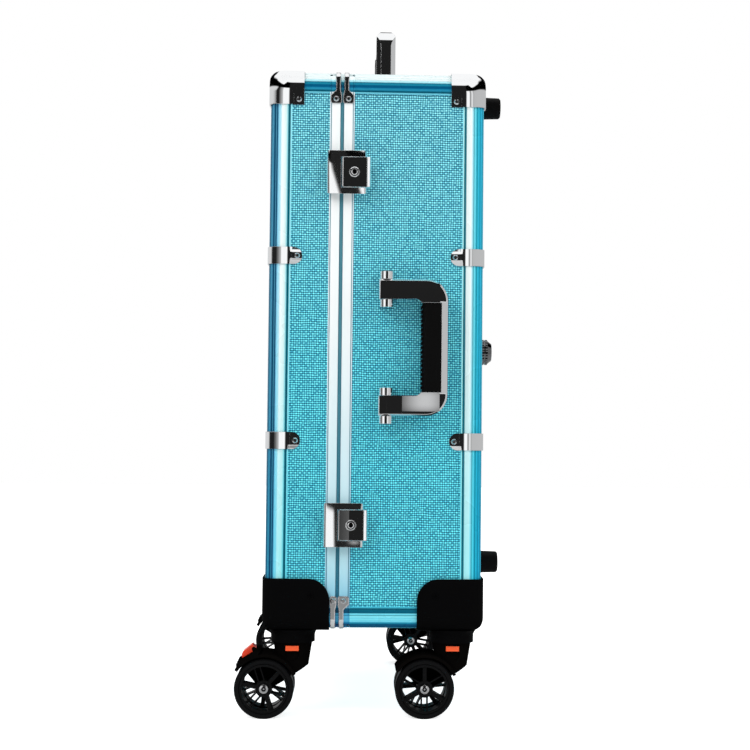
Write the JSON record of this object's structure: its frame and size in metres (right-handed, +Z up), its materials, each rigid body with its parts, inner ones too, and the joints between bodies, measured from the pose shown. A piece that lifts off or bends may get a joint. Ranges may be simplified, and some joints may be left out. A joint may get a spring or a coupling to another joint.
{
  "type": "vanity case",
  "caption": "Upright rolling vanity case with an aluminium frame, chrome latches and corners, fold-down handles and braked twin-wheel swivel casters.",
  "frame": {"origin": "on the floor under the middle of the bounding box", "axes": "+X from the lid to the back of the body, +Y from the latch side to the hinge side, +Z up"},
  "size_m": [0.2685, 0.4289, 0.7385],
  "materials": {
    "panel_film": "cyan film embossed with a fine weave of dots",
    "anodised_profile": "cyan anodised, satin",
    "anodised_frame": "pale cyan anodised, satin",
    "lining": "black short-pile lining",
    "divider_board": "black lined board",
    "chrome": "bright chrome plate",
    "bright_steel": "bright",
    "latch_steel": "zinc plated",
    "black_nylon": "black moulded nylon",
    "black_wheel": "black polyurethane",
    "black_rubber": "black",
    "mirror": "silvered glass",
    "orange_plastic": "orange",
    "red_plastic": "red"
  },
  "bodies": {
    "body": {"body_back_panel": "panel_film", "body_end_panels": "panel_film", "body_side_panels": "panel_film", "body_edge_profiles": "anodised_profile", "body_opening_frame": "anodised_frame", "body_lining": "lining", "body_dividers": "divider_board", "body_ball_corners": "chrome", "body_parting_corners": "chrome", "body_straps": "chrome", "body_rivets": "bright_steel", "body_caster_housings": "black_nylon", "back_feet": "black_rubber", "hinge_body_leaves": "chrome", "hinge_pins": "bright_steel", "latch_bases": "latch_steel", "handle_ears": "chrome"},
    "lid": {"lid_front_panel": "panel_film", "lid_end_panels": "panel_film", "lid_side_panels": "panel_film", "lid_edge_profiles": "anodised_profile", "lid_opening_frame": "anodised_frame", "lid_lining": "lining", "lid_mirror": "mirror", "lid_ball_corners": "chrome", "lid_parting_corners": "chrome", "lid_straps": "chrome", "lid_rivets": "bright_steel", "lid_caster_housings": "black_nylon", "hinge_lid_leaves": "chrome", "latch_catches": "latch_steel"},
    "back_knob": {"back_knob": "chrome"},
    "side_handle": {"side_handle": "chrome", "side_handle_grip": "black_rubber"},
    "top_handle": {"top_handle": "chrome", "top_handle_grip": "black_rubber"},
    "upper_latch_lever": {"upper_latch_lever": "chrome"},
    "upper_latch_hook": {"upper_latch_hook": "chrome"},
    "upper_key_barrel": {"upper_key_barrel": "bright_steel"},
    "lower_latch_lever": {"lower_latch_lever": "chrome"},
    "lower_latch_hook": {"lower_latch_hook": "chrome"},
    "lower_key_barrel": {"lower_key_barrel": "bright_steel"},
    "front_lid_caster": {"front_lid_fork": "black_nylon", "front_lid_axle": "bright_steel"},
    "front_lid_wheels": {"front_lid_wheels": "black_wheel"},
    "front_lid_release_button": {"front_lid_release_button": "orange_plastic"},
    "front_lid_brake_lever": {"front_lid_brake_lever": "red_plastic"},
    "rear_lid_caster": {"rear_lid_fork": "black_nylon", "rear_lid_axle": "bright_steel"},
    "rear_lid_wheels": {"rear_lid_wheels": "black_wheel"},
    "rear_lid_release_button": {"rear_lid_release_button": "orange_plastic"},
    "rear_lid_brake_lever": {"rear_lid_brake_lever": "red_plastic"},
    "front_body_caster": {"front_body_fork": "black_nylon", "front_body_axle": "bright_steel"},
    "front_body_wheels": {"front_body_wheels": "black_wheel"},
    "front_body_release_button": {"front_body_release_button": "orange_plastic"},
    "rear_body_caster": {"rear_body_fork": "black_nylon", "rear_body_axle": "bright_steel"},
    "rear_body_wheels": {"rear_body_wheels": "black_wheel"},
    "rear_body_release_button": {"rear_body_release_button": "orange_plastic"}
  },
  "joints": [
    {"name": "lid_hinge", "type": "hinge", "parent": "body", "child": "lid", "pos_m": [-0.03145, 0.21145, 0.3735], "axis": [0, 0, 1], "range_deg": [-100, 0]},
    {"name": "back_knob_turn", "type": "hinge", "parent": "body", "child": "back_knob", "pos_m": [0.11375, -0.14195, 0.3735], "axis": [1, 0, 0], "range_deg": [-90, 90]},
    {"name": "side_handle_fold", "type": "hinge", "parent": "body", "child": "side_handle", "pos_m": [0.01525, -0.20395, 0.374], "axis": [0, 0, 1], "range_deg": [-92, 0]},
    {"name": "top_handle_fold", "type": "hinge", "parent": "body", "child": "top_handle", "pos_m": [0.01525, 0.00805, 0.6675], "axis": [0, 1, 0], "range_deg": [0, 90]},
    {"name": "upper_lever_lift", "type": "hinge", "parent": "body", "child": "upper_latch_lever", "pos_m": [-0.02805, -0.19635, 0.55127], "axis": [0, 0, 1], "range_deg": [-85, 0]},
    {"name": "upper_hook_swing", "type": "hinge", "parent": "upper_latch_lever", "child": "upper_latch_hook", "pos_m": [-0.01545, -0.19855, 0.55127], "axis": [0, 0, 1], "range_deg": [0, 100]},
    {"name": "upper_key_turn", "type": "hinge", "parent": "upper_latch_lever", "child": "upper_key_barrel", "pos_m": [-0.01845, -0.19635, 0.55127], "axis": [0, 1, 0], "range_deg": [0, 90]},
    {"name": "lower_lever_lift", "type": "hinge", "parent": "body", "child": "lower_latch_lever", "pos_m": [-0.02805, -0.19635, 0.19573], "axis": [0, 0, 1], "range_deg": [-85, 0]},
    {"name": "lower_hook_swing", "type": "hinge", "parent": "lower_latch_lever", "child": "lower_latch_hook", "pos_m": [-0.01545, -0.19855, 0.19573], "axis": [0, 0, 1], "range_deg": [0, 100]},
    {"name": "lower_key_turn", "type": "hinge", "parent": "lower_latch_lever", "child": "lower_key_barrel", "pos_m": [-0.01845, -0.19635, 0.19573], "axis": [0, 1, 0], "range_deg": [0, 90]},
    {"name": "front_lid_swivel", "type": "hinge", "parent": "lid", "child": "front_lid_caster", "pos_m": [-0.07625, -0.16395, 0.0755], "axis": [0, 0, 1], "continuous": true},
    {"name": "front_lid_wheel_spin", "type": "hinge", "parent": "front_lid_caster", "child": "front_lid_wheels", "pos_m": [-0.10425, -0.16395, 0.03], "axis": [0, 1, 0], "continuous": true},
    {"name": "front_lid_button_press", "type": "slide", "parent": "front_lid_caster", "child": "front_lid_release_button", "axis": [0, 1, 0], "range_m": [0, 0.0022], "stiffness_N_per_m": 400},
    {"name": "front_lid_brake_press", "type": "hinge", "parent": "front_lid_caster", "child": "front_lid_brake_lever", "pos_m": [-0.11527, -0.16395, 0.06839], "axis": [0, 1, 0], "range_deg": [0, 8]},
    {"name": "rear_lid_swivel", "type": "hinge", "parent": "lid", "child": "rear_lid_caster", "pos_m": [-0.07625, 0.18005, 0.0755], "axis": [0, 0, 1], "continuous": true},
    {"name": "rear_lid_wheel_spin", "type": "hinge", "parent": "rear_lid_caster", "child": "rear_lid_wheels", "pos_m": [-0.10425, 0.18005, 0.03], "axis": [0, 1, 0], "continuous": true},
    {"name": "rear_lid_button_press", "type": "slide", "parent": "rear_lid_caster", "child": "rear_lid_release_button", "axis": [0, -1, 0], "range_m": [0, 0.0022], "stiffness_N_per_m": 400},
    {"name": "rear_lid_brake_press", "type": "hinge", "parent": "rear_lid_caster", "child": "rear_lid_brake_lever", "pos_m": [-0.11527, 0.18005, 0.06839], "axis": [0, 1, 0], "range_deg": [0, 8]},
    {"name": "front_body_swivel", "type": "hinge", "parent": "body", "child": "front_body_caster", "pos_m": [0.08575, -0.16395, 0.0755], "axis": [0, 0, 1], "continuous": true},
    {"name": "front_body_wheel_spin", "type": "hinge", "parent": "front_body_caster", "child": "front_body_wheels", "pos_m": [0.05775, -0.16395, 0.03], "axis": [0, 1, 0], "continuous": true},
    {"name": "front_body_button_press", "type": "slide", "parent": "front_body_caster", "child": "front_body_release_button", "axis": [0, 1, 0], "range_m": [0, 0.0022], "stiffness_N_per_m": 400},
    {"name": "rear_body_swivel", "type": "hinge", "parent": "body", "child": "rear_body_caster", "pos_m": [0.08575, 0.18005, 0.0755], "axis": [0, 0, 1], "continuous": true},
    {"name": "rear_body_wheel_spin", "type": "hinge", "parent": "rear_body_caster", "child": "rear_body_wheels", "pos_m": [0.05775, 0.18005, 0.03], "axis": [0, 1, 0], "continuous": true},
    {"name": "rear_body_button_press", "type": "slide", "parent": "rear_body_caster", "child": "rear_body_release_button", "axis": [0, -1, 0], "range_m": [0, 0.0022], "stiffness_N_per_m": 400}
  ],
  "couplings": [
    {"joint": "upper_hook_swing", "follows": "upper_lever_lift", "ratio": -1.12},
    {"joint": "lower_hook_swing", "follows": "lower_lever_lift", "ratio": -1.12}
  ]
}
